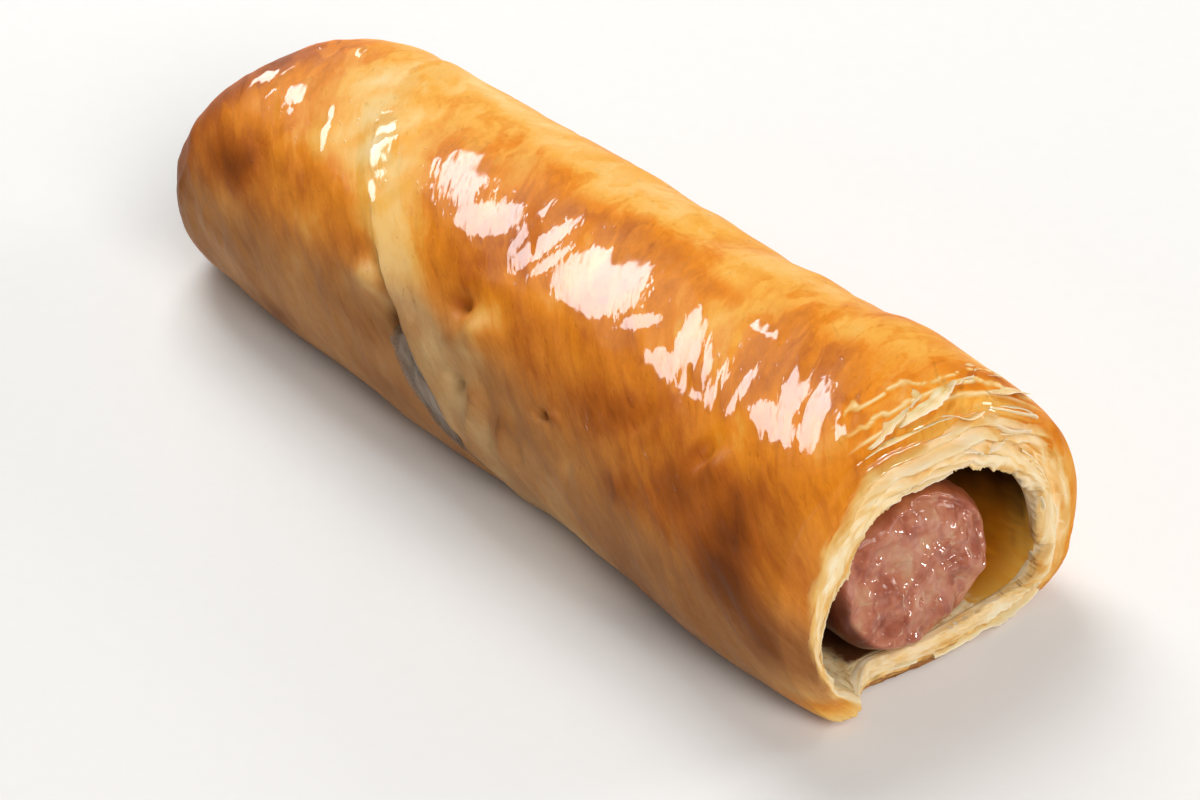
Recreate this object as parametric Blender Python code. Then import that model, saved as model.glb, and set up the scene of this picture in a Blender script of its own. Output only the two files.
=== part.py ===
"""Sausage roll: a flattened tube of baked puff pastry with a sausage lying in it.

Standalone Blender script, in metres, +Z up.  The roll lies along X on its flat
base.  The cut end that stands wide open is at +X, the end that has curled in is
at -X, and the origin is on the tray, under the middle of the whole.
"""

import math

import bmesh
import bpy
from mathutils import Vector, noise

MM = 0.001

# The roll, from outside to outside
ROLL_LENGTH = 150 * MM
ROLL_WIDTH = 56 * MM
ROLL_HEIGHT = 36 * MM
TAPER = 0.08  # how much wider and higher the open end is than the curled one
END_TO_MIDDLE = -2.8 * MM  # the roll is set back this far, because its cut end leans out
WIDEST_AT = 0.45  # height of the widest place, as a share of the roll's height
TUCK_UNDER = 0.60  # how far the round form would reach below that, cut off by the tray
ROUNDNESS = 2.2  # power of the section: 2 is an ellipse, more is boxier
BASE_SOFTNESS = 3 * MM  # how gently the sides turn into the flat base

# The oblique loop along which one strip of dough laps over the other
LAP_MIDDLE = -19.2 * MM
LAP_SLANT = 33.8 * MM
LAP_LOWEST = math.radians(230)
LAP_RISE = 1.3 * MM
LAP_HOLLOW = 1.1 * MM
LAP_ROLL = 9 * MM  # how far the raised lip takes to die away

# The two ends
CURL_RADIUS = 14.5 * MM
CURLED_IN = 0.40  # share by which the curled end has drawn in
CUT_LEAN = 8.8 * MM  # how far the top of the open end stands back from its foot
LEAN_FROM = 30 * MM
RIM_ROUNDING = 0.9 * MM
RIM_REACH = 6 * MM
TOE_LENGTH = 2.0 * MM  # the drawn-out corner of dough at the foot of the cut
TOE_ANGLE = math.radians(219)
TOE_SPREAD = math.radians(8)
FOOT_SET_BACK = 3.4 * MM  # the base just behind that corner, where it has torn
FOOT_ANGLE = math.radians(244)
FOOT_SPREAD = math.radians(20)

# The hollow that the shrunken sausage has left
HOLLOW_WIDTH = 43 * MM
HOLLOW_TOP = 27.5 * MM
HOLLOW_WIDEST = 12 * MM
FLOOR_THICKNESS = 3.2 * MM
HOLLOW_DROP = 14 * MM
HOLLOW_NARROWING = 0.90  # the hollow's width deep inside, as a share of its mouth's
HOLLOW_LOWERING = 0.95  # and its height there, as a share of the same
HOLLOW_CURL = 0.33  # how much the hollow closes where the far end curls in
HOLLOW_LIFT = 9 * MM  # and how far it rises there, in step with the same curl
MOUTH_DEPTH = 30 * MM
SAG = 2.6 * MM  # how far the front shoulder of the mouth has sunk
SAG_ANGLE = math.radians(141)
SAG_SPREAD = math.radians(30)

# The sausage
SAUSAGE_WIDTH = 29.6 * MM
SAUSAGE_HEIGHT = 21.4 * MM
SAUSAGE_ASIDE = -1.6 * MM  # it lies a little towards the front
SAUSAGE_RECESS = 0.8 * MM
SAUSAGE_FAR_RECESS = 7 * MM
SAUSAGE_EDGE = 3.2 * MM
REST_GAP = 0.3 * MM

# Low swells and dents of the crust: place along X, angle round the roll, reach
# along, reach round, and height
SWELLINGS = (
    (-70 * MM, 75, 26 * MM, 62, -1.3 * MM),
    (-58 * MM, 215, 13 * MM, 38, -1.6 * MM),
    (18 * MM, 205, 20 * MM, 38, -1.6 * MM),
    (53 * MM, 208, 14 * MM, 40, 1.4 * MM),
    (17 * MM, 55, 8 * MM, 32, -0.9 * MM),
    (56 * MM, 50, 24 * MM, 45, 1.1 * MM),
    (75 * MM, -8, 18 * MM, 40, 1.3 * MM),
    (75 * MM, 325, 8 * MM, 12, 1.4 * MM),
)

# How finely the solids are divided
AROUND = 56
OUTER_STATIONS = 49
RIM_STATIONS = 3
INNER_STATIONS = 21
CROWDING = 0.4  # how far the skin's stations crowd towards the lap
CURL_CROWDING = 0.9  # and towards the curled end


def smooth(share):
    """0 before 0, 1 after 1, and an even S between."""
    share = min(1.0, max(0.0, share))
    return share * share * (3 - 2 * share)


def turn_between(a, b):
    """The angle from b to a, the short way round."""
    return (a - b + math.pi) % (2 * math.pi) - math.pi


def bell(distance, reach):
    """A smooth hump, 1 at its middle and almost nothing past its reach."""
    return math.exp(-2 * (distance / reach) ** 2)


def oval(angle, half_width, rise, drop):
    """A point of a rounded-off oval, seen along the roll, about its widest place."""
    across, up = math.cos(angle), math.sin(angle)
    y = math.copysign(abs(across) ** (2 / ROUNDNESS), across) * half_width
    z = math.copysign(abs(up) ** (2 / ROUNDNESS), up) * (rise if up > 0 else drop)
    return y, z


def laid_flat(z, floor):
    """The height z, pressed flat where it would pass below the floor."""
    over = z - floor
    if over > BASE_SOFTNESS:
        return z
    if over < -BASE_SOFTNESS:
        return floor
    return floor + (over + BASE_SOFTNESS) ** 2 / (4 * BASE_SOFTNESS)


def lap_line(angle):
    """Where along X the lap crosses the crust, at an angle round the roll."""
    return LAP_MIDDLE + LAP_SLANT * math.cos(angle - LAP_LOWEST)


def bent_to_lap(x, angle):
    """Stations follow the lap where they are near it, and stand square at the ends."""
    end = -ROLL_LENGTH / 2 if x < LAP_MIDDLE else ROLL_LENGTH / 2
    share = (end - x) / (end - LAP_MIDDLE)
    return x + (lap_line(angle) - LAP_MIDDLE) * share


def lap_relief(x, angle):
    """The raised lip on the near side of the lap and the hollow on its far side."""
    past = x - lap_line(angle)
    # The lip stands proud on the front flank and is pressed flat over the back.
    proud = 0.35 + 0.65 * bell(turn_between(angle, math.radians(165)), math.radians(60))
    if past >= 0:
        return proud * LAP_RISE * bell(past, LAP_ROLL)
    return proud * (LAP_RISE * bell(past, 1.5 * MM) - LAP_HOLLOW * bell(past + 3 * MM, 6 * MM))


def crust_relief(x, angle):
    """Everything that lifts or sinks the crust off its plain form."""
    relief = lap_relief(x, angle)
    for place, degrees, along, round_it, height in SWELLINGS:
        away = turn_between(angle, math.radians(degrees))
        relief += height * bell(x - place, along) * bell(away, math.radians(round_it))
    about = Vector((x / (26 * MM), math.cos(angle) * 1.1, math.sin(angle) * 1.1))
    return relief + 0.55 * MM * noise.noise(about)


def curl(x, amount):
    """How much of its full size the roll keeps at x, near the end that curls in."""
    inside = (x + ROLL_LENGTH / 2) / CURL_RADIUS
    if inside >= 1:
        return 1.0
    return 1 - amount * (1 - math.sqrt(max(0.0, 1 - (1 - inside) ** 2)))


def lean(x, z):
    """How far the slanting cut carries a point of height z along X."""
    share = smooth((x - LEAN_FROM) / (ROLL_LENGTH / 2 - LEAN_FROM))
    return CUT_LEAN * share * (0.5 - z / ROLL_HEIGHT)


def foot_shift(to_cut, angle):
    """How far the torn foot of the cut stands out, or back, along X."""
    toe = bell(turn_between(angle, TOE_ANGLE), TOE_SPREAD)
    torn = bell(turn_between(angle, FOOT_ANGLE), FOOT_SPREAD)
    return smooth(to_cut) * (toe * TOE_LENGTH - torn * FOOT_SET_BACK)


def crust_point(along, angle):
    """A point of the outer skin; along runs from 0 at the curled end to 1 at the cut."""
    x = bent_to_lap(ROLL_LENGTH * (along - 0.5), angle)
    size = 1 + TAPER * x / ROLL_LENGTH
    relief = crust_relief(x, angle)
    height = ROLL_HEIGHT * size
    middle = WIDEST_AT * height
    y, z = oval(
        angle,
        ROLL_WIDTH / 2 * size + relief,
        height - middle + relief,
        TUCK_UNDER * height,
    )
    shut = curl(x, CURLED_IN)
    to_cut = 1 - min(1.0, (ROLL_LENGTH / 2 - x) / RIM_REACH)
    rounding = 1 - to_cut**2 * RIM_ROUNDING / (ROLL_WIDTH / 2)
    y = y * shut * rounding
    z = laid_flat(middle + z * shut * rounding, 0)
    return Vector((x + lean(x, z) + foot_shift(to_cut, angle), y, z))


def hollow_point(along, angle):
    """A point of the hollow's wall, along the same stations as the skin."""
    x = ROLL_LENGTH * (along - 0.5)
    deep = smooth((ROLL_LENGTH / 2 - x) / MOUTH_DEPTH)
    shut = curl(x, HOLLOW_CURL)
    wide = shut * (1 + (HOLLOW_NARROWING - 1) * deep)
    high = shut * (1 + (HOLLOW_LOWERING - 1) * deep)
    about = Vector((x / (18 * MM), math.cos(angle) * 1.6, math.sin(angle) * 1.6 + 7))
    uneven = 0.5 * MM * noise.noise(about)
    uneven -= SAG * bell(turn_between(angle, SAG_ANGLE), SAG_SPREAD) * (1 - deep)
    y, z = oval(
        angle,
        HOLLOW_WIDTH / 2 * wide + uneven,
        (HOLLOW_TOP - HOLLOW_WIDEST) * high + uneven,
        HOLLOW_DROP * high,
    )
    middle = HOLLOW_WIDEST + HOLLOW_LIFT * (1 - shut)
    z = laid_flat(middle + z, FLOOR_THICKNESS)
    to_cut = 1 - min(1.0, (ROLL_LENGTH / 2 - x) / RIM_REACH)
    return Vector((x + lean(x, z) + foot_shift(to_cut, angle), y, z))


def crowded(share):
    """Stations 0 to 1 along the roll, closer together at the lap and the curled end."""
    lap = 2 * math.pi * (LAP_MIDDLE / ROLL_LENGTH + 0.5)
    wave = math.sin(2 * math.pi * share - lap) + math.sin(lap)
    at_curl = share * math.exp(-10 * share)
    return share - CROWDING * wave / (2 * math.pi) - CURL_CROWDING * at_curl


def wall_stations():
    """The closed lengthwise section of the wall, as (along, depth into the wall)."""
    skin = [(crowded(i / OUTER_STATIONS), 0.0) for i in range(OUTER_STATIONS + 1)]
    depths = [(i + 1) / (RIM_STATIONS + 1) for i in range(RIM_STATIONS)]
    cut = [(1.0, depth) for depth in depths]
    inside = [(1 - i / INNER_STATIONS, 1.0) for i in range(INNER_STATIONS + 1)]
    curled = [(0.0, depth) for depth in reversed(depths)]
    return skin + cut + inside + curled


def wall_point(along, depth, angle):
    """A point of the pastry: the skin, the hollow's wall or the cut between them."""
    point = crust_point(along, angle).lerp(hollow_point(along, angle), depth)
    bulge = RIM_ROUNDING * math.sin(math.pi * depth)
    point.x += END_TO_MIDDLE + (bulge if along > 0.5 else -bulge)
    return point


def new_object(name, mesh, collection):
    """An object that shows the mesh, smooth but for its sharp edges."""
    made = bpy.data.objects.new(name, mesh)
    collection.objects.link(made)
    mesh.shade_smooth()
    mesh.set_sharp_from_angle(angle=math.radians(50))
    return made


def material(name, colour, roughness):
    """A plain finish in one colour."""
    made = bpy.data.materials.new(name)
    made.use_nodes = True
    shader = made.node_tree.nodes["Principled BSDF"]
    shader.inputs["Base Color"].default_value = (*colour, 1)
    shader.inputs["Roughness"].default_value = roughness
    shader.inputs["Metallic"].default_value = 0
    made.diffuse_color = (*colour, 1)
    return made


def make_pastry(collection):
    """The pastry tube: a torus whose tube section is drawn out into the wall."""
    stations = wall_stations()
    ring_radius, tube_radius = 1.0, 0.5
    bpy.ops.mesh.primitive_torus_add(
        major_segments=AROUND,
        minor_segments=len(stations),
        major_radius=ring_radius,
        minor_radius=tube_radius,
    )
    torus = bpy.context.object
    mesh = torus.data
    for vertex in mesh.vertices:
        x, y, z = vertex.co
        angle = math.atan2(y, x)
        round_tube = math.atan2(z, math.hypot(x, y) - ring_radius) / (2 * math.pi)
        along, depth = stations[round(round_tube * len(stations)) % len(stations)]
        vertex.co = wall_point(along, depth, angle)
    face_outwards(mesh)
    bpy.data.objects.remove(torus)
    mesh.name = "pastry"
    mesh.materials.clear()
    mesh.materials.append(material("baked_pastry", (0.72, 0.36, 0.09), 0.35))
    return new_object("pastry", mesh, collection)


def sausage_point(share, angle):
    """A point of the sausage; share runs from 0 at its far end to 1 at the cut face."""
    near = ROLL_LENGTH / 2 - SAUSAGE_RECESS
    far = -ROLL_LENGTH / 2 + SAUSAGE_FAR_RECESS
    x = far + (near - far) * share
    to_face = max(0.0, 1 - (near - x) / SAUSAGE_EDGE)
    to_tip = max(0.0, 1 - (x - far) / (SAUSAGE_WIDTH / 3))
    size = math.sqrt(1 - 0.1 * to_face**2) * math.sqrt(1 - 0.75 * to_tip**2)
    about = Vector((x / (15 * MM), math.cos(angle), math.sin(angle) - 5))
    uneven = 0.35 * MM * noise.noise(about)
    y, z = oval(
        angle,
        (SAUSAGE_WIDTH / 2 + uneven) * size,
        (SAUSAGE_HEIGHT / 2 + uneven) * size,
        (SAUSAGE_HEIGHT / 2) * size,
    )
    y += SAUSAGE_ASIDE
    z += FLOOR_THICKNESS + REST_GAP + SAUSAGE_HEIGHT / 2
    return Vector((x + END_TO_MIDDLE + lean(x, z), y, z))


def face_outwards(mesh):
    """Turns every face of a closed mesh outwards."""
    shape = bmesh.new()
    shape.from_mesh(mesh)
    bmesh.ops.recalc_face_normals(shape, faces=shape.faces)
    shape.to_mesh(mesh)
    shape.free()


def make_sausage(collection):
    """The sausage: a cylinder divided along its length and swelled to its form."""
    shape = bmesh.new()
    bmesh.ops.create_cone(
        shape, cap_ends=True, segments=28, radius1=1, radius2=1, depth=1
    )
    lengthwise = [e for e in shape.edges if abs(e.verts[0].co.z - e.verts[1].co.z) > 0.5]
    bmesh.ops.subdivide_edges(shape, edges=lengthwise, cuts=17, use_grid_fill=True)
    for vertex in shape.verts:
        angle = math.atan2(vertex.co.y, vertex.co.x)
        # Stations crowd towards both ends, where the form turns in.
        share = 0.5 - 0.5 * math.cos(math.pi * (vertex.co.z + 0.5))
        vertex.co = sausage_point(share, angle)
    bmesh.ops.recalc_face_normals(shape, faces=shape.faces)
    mesh = bpy.data.meshes.new("sausage")
    shape.to_mesh(mesh)
    shape.free()
    mesh.materials.append(material("sausage_meat", (0.42, 0.16, 0.12), 0.3))
    return new_object("sausage", mesh, collection)


def main():
    for old in list(bpy.data.objects):
        bpy.data.objects.remove(old)
    roll = bpy.data.collections.new("sausage_roll")
    bpy.context.scene.collection.children.link(roll)
    make_pastry(roll)
    make_sausage(roll)


main()
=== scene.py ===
"""The looks of a baked sausage roll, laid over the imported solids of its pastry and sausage."""

import math

import bpy
import numpy as np
from mathutils import Matrix, Vector, noise


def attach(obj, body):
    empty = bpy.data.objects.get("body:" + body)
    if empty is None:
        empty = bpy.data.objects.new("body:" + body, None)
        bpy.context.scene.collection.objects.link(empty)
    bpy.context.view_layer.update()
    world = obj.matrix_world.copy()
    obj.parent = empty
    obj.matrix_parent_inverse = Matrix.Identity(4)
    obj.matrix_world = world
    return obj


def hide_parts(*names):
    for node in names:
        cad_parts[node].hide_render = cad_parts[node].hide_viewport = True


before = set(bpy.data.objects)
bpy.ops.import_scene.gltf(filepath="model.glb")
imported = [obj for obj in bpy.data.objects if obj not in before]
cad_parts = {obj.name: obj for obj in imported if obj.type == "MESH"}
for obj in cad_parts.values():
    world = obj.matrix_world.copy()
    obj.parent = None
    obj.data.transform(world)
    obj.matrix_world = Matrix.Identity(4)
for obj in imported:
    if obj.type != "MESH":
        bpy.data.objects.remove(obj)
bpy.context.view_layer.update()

# ---------------------------------------------------------------------------
# The sausage: coarse cooked meat in a thin casing, squashed a little flat by the
# dough it was baked in.  It has shrunk, so it lies loose on the floor of the
# hollow, and the knife that cut the roll has left its near face bare.

MM = 0.001
ROLL_LENGTH = 150 * MM
ROLL_HEIGHT = 36 * MM
NEAR_CUT = ROLL_LENGTH / 2
FAR_CUT = -ROLL_LENGTH / 2
SET_BACK = -2.8 * MM
CUT_LEAN = 8.8 * MM
LEAN_FROM = 30 * MM
ROUNDNESS = 2.2
FLOOR_TOP = 3.2 * MM
REST_GAP = 0.3 * MM
SAUSAGE_WIDTH = 29.6 * MM
SAUSAGE_HEIGHT = 21.4 * MM
SAUSAGE_ASIDE = -1.6 * MM
SAUSAGE_NEAR = NEAR_CUT - 0.8 * MM
SAUSAGE_FAR = FAR_CUT + 7 * MM
TIP_LENGTH = 9 * MM
FACE_SHARE = 0.8
FACE_CROWN = 0.6 * MM
EDGE_ROUNDING = 3.1 * MM


def smooth(share):
    """0 before 0, 1 after 1, and an even S between."""
    share = np.clip(share, 0, 1)
    return share * share * (3 - 2 * share)


def bell(distance, reach):
    """A smooth hump, 1 at its middle and almost nothing past its reach."""
    return np.exp(-2 * (distance / reach) ** 2)


def turn_from(angle, degrees):
    """How many degrees an angle lies past a turn in degrees, the short way round."""
    return (np.degrees(angle) - degrees + 180) % 360 - 180


def facing(angle, degrees, reach):
    """A smooth hump round one turn of the roll, both in degrees."""
    return bell(turn_from(angle, degrees), reach)


def grain(places, size, octaves=1):
    """Noise of about -1 to 1, its features of one size in mm or of one along each axis."""
    spots = (places / (np.array(size) * MM)).reshape(-1, 3).tolist()
    kind = "PERLIN_ORIGINAL"
    values = [noise.fractal(spot, 1.0, 2.0, octaves, noise_basis=kind) for spot in spots]
    return np.array(values).reshape(places.shape[:-1])


def oval(angle, half_width, rise, drop):
    """The section of everything in the roll: an ellipse grown a little boxy."""
    across, up = np.cos(angle), np.sin(angle)
    y = np.sign(across) * np.abs(across) ** (2 / ROUNDNESS) * half_width
    z = np.sign(up) * np.abs(up) ** (2 / ROUNDNESS) * np.where(up > 0, rise, drop)
    return y, z


def lean(x, z):
    """How far the slanting cut carries a point of height z along X."""
    share = smooth((x - LEAN_FROM) / (NEAR_CUT - LEAN_FROM))
    return CUT_LEAN * share * (0.5 - z / ROLL_HEIGHT)


def added(name, data):
    """Puts a mesh, a lamp or a camera in the scene."""
    made = bpy.data.objects.new(name, data)
    bpy.context.scene.collection.objects.link(made)
    return made


def sewn(name, points, faces):
    """A smooth mesh of points and faces."""
    mesh = bpy.data.meshes.new(name)
    mesh.from_pydata(points, [], faces)
    mesh.validate()
    mesh.shade_smooth()
    return added(name, mesh)


def woven(name, points, stretches, capped=False):
    """A mesh through points set out in rows once round the roll.

    Each stretch is its rows and columns, and has as many columns as the one before,
    or twice as many.
    """
    points = points.tolist()
    faces = []
    start = 0
    last = None
    for count, around in stretches:
        index = start + np.arange(count * around).reshape(count, around)
        following = np.roll(index, -1, axis=1)
        quads = [index[:-1], following[:-1], following[1:], index[1:]]
        faces += np.stack(quads, axis=-1).reshape(-1, 4).tolist()
        if last is not None:
            after = np.roll(last, -1)
            step = around // len(last)
            corners = [last, after, np.roll(index[0, ::step], -1)]
            if step == 2:
                corners.append(index[0, 1::2])
            corners.append(index[0, ::step])
            faces += np.stack(corners, axis=-1).tolist()
        last = index[-1]
        start += count * around
    if capped:
        first = list(range(stretches[0][1]))
        for ring, flip in ((first, True), (last.tolist(), False)):
            tip = len(points)
            points.append(np.mean([points[i] for i in ring], axis=0).tolist())
            for a, b in zip(ring, ring[1:] + ring[:1]):
                faces.append((b, a, tip) if flip else (a, b, tip))
    return sewn(name, points, faces)


def keep(piece, name, values):
    """Stores a value, or a place, for each vertex, for the finish to read."""
    values = np.asarray(values, dtype=np.float32)
    missing = len(piece.data.vertices) - len(values)
    values = np.concatenate([values, np.repeat(values[-1:], missing, axis=0)])
    if values.ndim == 2:
        kept = piece.data.attributes.new(name, "FLOAT_VECTOR", "POINT")
        kept.data.foreach_set("vector", values.ravel())
    else:
        kept = piece.data.attributes.new(name, "FLOAT", "POINT")
        kept.data.foreach_set("value", values)


class Shade:
    """Something that varies over a finish: one output socket, on which sums add nodes."""

    def __init__(self, tree, socket=None):
        self.tree = tree
        self.socket = socket

    def fill(self, socket, value):
        """Links a shade into a socket, or sets the socket to a plain value."""
        if isinstance(value, Shade):
            self.tree.links.new(value.socket, socket)
        elif socket.type == "RGBA" and len(value) == 3:
            socket.default_value = (*value, 1)
        else:
            socket.default_value = value

    def node(self, kind, settings=None, sockets=None, output=0):
        """Adds a node, sets it up, fills its sockets, and gives one of its outputs."""
        made = self.tree.nodes.new("ShaderNode" + kind)
        for name, value in (settings or {}).items():
            if name == "stops":
                stops = made.color_ramp.elements
                stops.remove(stops[1])
                stops[0].position = value[0][0]
                stops[0].color = (*value[0][1], 1)
                for place, colour in value[1:]:
                    stops.new(place).color = (*colour, 1)
            else:
                setattr(made, name, value)
        for name, value in (sockets or {}).items():
            self.fill(made.inputs[name], value)
        return Shade(self.tree, made.outputs[output])

    def sum(self, operation, a, b):
        return self.node("Math", {"operation": operation}, {0: a, 1: b})

    def __add__(self, other):
        return self.sum("ADD", self, other)

    def __sub__(self, other):
        return self.sum("SUBTRACT", self, other)

    def __rsub__(self, other):
        return self.sum("SUBTRACT", other, self)

    def __mul__(self, other):
        return self.sum("MULTIPLY", self, other)

    __radd__, __rmul__ = __add__, __mul__

    def kept(self, name):
        """A value stored on the vertices."""
        return self.node("Attribute", {"attribute_name": name}, output="Fac")

    def places(self, name):
        """A place stored on the vertices."""
        return self.node("Attribute", {"attribute_name": name}, output="Vector")

    def speckle(self, sizes, detail=2.0, twist=0.0):
        """Noise from 0 to 1 at a place, its features of a size in mm along each axis."""
        scale = tuple(1 / (size * MM) for size in sizes)
        spread = self.node("VectorMath", {"operation": "MULTIPLY"}, {0: self, 1: scale})
        sockets = {"Vector": spread, "Scale": 1.0, "Detail": detail, "Distortion": twist}
        return self.node("TexNoise", None, sockets)

    def between(self, low, high):
        """0 at low, 1 at high, and an even S between."""
        settings = {"interpolation_type": "SMOOTHSTEP"}
        return self.node("MapRange", settings, {"Value": self, "From Min": low, "From Max": high})

    def mixed(self, a, b):
        """Colour a where this shade is 0 and colour b where it is 1."""
        return self.node("Mix", {"data_type": "RGBA"}, {0: self, 6: a, 7: b}, output=2)

    def tinted(self, stops):
        """The colours of a ramp."""
        return self.node("ValToRGB", {"stops": stops}, {"Fac": self}, output="Color")

    def onto(self, name, value):
        """Puts a shade, or a plain value, on one of the finish's own sockets."""
        self.fill(self.tree.nodes["Principled BSDF"].inputs[name], value)

    def raised(self, height, strength, distance):
        """Puts fine relief on the finish."""
        sockets = {"Strength": strength, "Distance": distance, "Height": height}
        self.onto("Normal", self.node("Bump", None, sockets))


def new_finish(name, steady):
    """A material and the start of its shades; steady is the same all over."""
    made = bpy.data.materials.new(name)
    made.use_nodes = True
    paint = Shade(made.node_tree)
    for socket, value in steady.items():
        paint.onto(socket, value)
    return made, paint


def laid_out(stations, angles):
    """The numbers of each station, and the angle, for each station at each angle."""
    stations = np.asarray(stations, dtype=float)
    return *np.repeat(stations, len(angles), axis=0).T, np.tile(angles, len(stations))


# Where the meat has small holes and folds: across, up, reach and depth, in mm from
# the middle of the face.
FACE_PITS = (
    (-0.7, -3.8, 0.65, 1), (-6, 5.6, 2, 0.7), (-8, 3, 1.3, -0.4), (2.3, 9.6, 1.8, 0.6),
    (2, 1.8, 0.3, 0.4), (-4, -8, 0.5, 0.5), (8.4, -4.5, 0.5, 0.3), (1.4, -5.8, 0.6, -0.35),
    (-9.5, -2, 1.4, -0.5), (4.5, 7.2, 0.9, -0.35), (-1, 6.8, 1.2, -0.4),
)

around = np.linspace(0, 2 * np.pi, 230, endpoint=False)
bends = np.linspace(0.03, math.pi / 2, 16)
tip = [(SAUSAGE_FAR + TIP_LENGTH * (1 - math.cos(a)), math.sin(a)) for a in bends]
side = [(x, 1) for x in np.linspace(SAUSAGE_FAR + 9.6 * MM, SAUSAGE_NEAR - 14 * MM, 44)]
shoulder = [(x, 1) for x in SAUSAGE_NEAR - np.linspace(13.6, 3.3, 26) * MM]
bends = np.linspace(0.05, 1, 18) * math.pi / 2
edge_x = SAUSAGE_NEAR - EDGE_ROUNDING * (1 - np.sin(bends))
edge = list(zip(edge_x, FACE_SHARE + (1 - FACE_SHARE) * np.cos(bends)))
radii = np.linspace(0.985, 0.02, 50)
face = [(SAUSAGE_NEAR + FACE_CROWN * (1 - r * r), r * FACE_SHARE) for r in radii]
stations = tip + side + shoulder + edge + face
x, size, angle = laid_out(stations, around)
about = MM * np.stack([x / (15 * MM), np.cos(angle), np.sin(angle) - 5], axis=-1)
uneven = 0.35 * MM * grain(about, 1)
y, z = oval(angle, SAUSAGE_WIDTH / 2 + uneven, SAUSAGE_HEIGHT / 2 + uneven, SAUSAGE_HEIGHT / 2)
y, z = y * size, z * size

# Coarse meat heaves the face, and the casing stands up round it as a low rolled rim.
on_face = smooth((x - SAUSAGE_NEAR + 1.2 * MM) / (1.2 * MM))
spot = np.stack([x * 0, y, z], axis=-1)
heave = 1.5 * grain(spot, 6, 2) + 0.34 * grain(spot, 2.2, 2)
heave = heave - 0.6 * bell(size - 0.84, 0.045) * smooth(2 * np.cos(angle - 0.55))
heave = heave + 0.25 * bell(size - 0.94, 0.06) * smooth(2 * np.cos(angle - 0.55))
for across, up, reach, deep in FACE_PITS:
    heave = heave - deep * bell(np.hypot(y - across * MM, z - up * MM), reach * MM)
skin = np.stack([x / 3, y, z], axis=-1)
creased = 1 + (1 - on_face) * (0.014 * grain(skin, 3.5, 2) + 0.02 * grain(skin, 9))
y = y * creased + SAUSAGE_ASIDE
z = z * creased + FLOOR_TOP + REST_GAP + SAUSAGE_HEIGHT / 2 + 0.15 * MM
x = x + on_face * MM * heave + SET_BACK + lean(x, z)
points = np.stack([x, y, z], axis=-1)
sausage = woven("sausage_meat_and_casing", points, [(len(stations), len(around))], capped=True)
keep(sausage, "bare", on_face)
# The lower left side of the casing, in the shadow of the lip, is marked for painted shade.
keep(sausage, "stewed", facing(angle, 200, 60) * smooth((size - FACE_SHARE) / 0.15))

meat, paint = new_finish(
    "cooked_sausage",
    {
        "Subsurface Weight": 0.12,
        "Subsurface Radius": (1.0, 0.35, 0.2),
        "Subsurface Scale": 0.002,
        "Coat Roughness": 0.08,
        "Coat IOR": 1.5,
        "Specular IOR Level": 0.25,
    },
)
place = paint.node("TexCoord", output="Object")
chunk = place.speckle((6, 5.5, 5.5), 3, 0.6)
shred = place.speckle((2.6, 2.2, 2.2), 3, 0.8)
fleck = place.speckle((0.7, 0.6, 0.6), 2)
lean_meat = (0.6 * chunk + 0.34 * shred + 0.06 * fleck).tinted(
    (
        (0.32, (0.23, 0.042, 0.018)),
        (0.43, (0.37, 0.1, 0.05)),
        (0.51, (0.47, 0.16, 0.088)),
        (0.58, (0.52, 0.215, 0.12)),
        (0.68, (0.56, 0.3, 0.17)),
    )
)
fat = place.speckle((3.2, 2.4, 2.6), 3, 1.5)
fatty = (0.6 * fat.between(0.6, 0.7)).mixed(lean_meat, (0.6, 0.37, 0.22))
casing_tone = chunk.tinted(((0.3, (0.26, 0.055, 0.018)), (0.7, (0.5, 0.155, 0.055))))
bare = paint.kept("bare")
tone = bare.mixed(casing_tone, fatty)
# Painted shade: that side is painted near black, and its coat is thinned there.
stewed = paint.kept("stewed").between(0.15, 0.85)
paint.onto("Base Color", (0.95 * stewed).mixed(tone, (0.08, 0.014, 0.004)))
paint.onto("Roughness", 0.4 + 0.2 * fleck)
wet = place.speckle((3, 2.6, 2.6), 3, 0.8).between(0.42, 0.6)
paint.onto("Coat Weight", (0.35 + 0.65 * wet) * (1 - 0.8 * stewed))
paint.raised(0.5 * shred + 0.12 * fleck, 0.5, 0.5 * MM)
sausage.data.materials.append(meat)
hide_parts("sausage")
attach(sausage, "root")

# ---------------------------------------------------------------------------
# The far strip of dough: egg-glazed puff pastry that wraps the far third of the
# roll.  Its end has curled in round the hollow, and its near edge is tucked under
# the lap of the other strip.

ROLL_WIDTH = 56 * MM
TAPER = 0.08
WIDEST_AT = 0.45
TUCK_UNDER = 0.6
BASE_SOFTNESS = 3 * MM
MEAN_RADIUS = 25 * MM
LAP_MIDDLE = -19.2 * MM
LAP_SLANT = 33.8 * MM
LAP_LOWEST = math.radians(230)
LAP_RISE = 1.3 * MM
LAP_HOLLOW = 1.1 * MM
LAP_ROLL = 9 * MM
CURL_RADIUS = 14.5 * MM
CURLED_IN = 0.4
HOLLOW_WIDTH = 43 * MM
HOLLOW_TOP = 27.5 * MM
HOLLOW_WIDEST = 12 * MM
HOLLOW_DROP = 14 * MM
HOLLOW_NARROWING = 0.9
HOLLOW_LOWERING = 0.95
HOLLOW_CURL = 0.33
HOLLOW_LIFT = 9 * MM
MOUTH_DEPTH = 30 * MM
SAG = 2.6 * MM
SAG_ANGLE = 141
SAG_SPREAD = 30
RIM_REACH = 6 * MM
RIM_ROUNDING = 0.9 * MM
TOE_LENGTH = 2.0 * MM
TOE_ANGLE = 219
TOE_SPREAD = 8
FOOT_SET_BACK = 3.4 * MM
FOOT_ANGLE = 244
FOOT_SPREAD = 20
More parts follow.
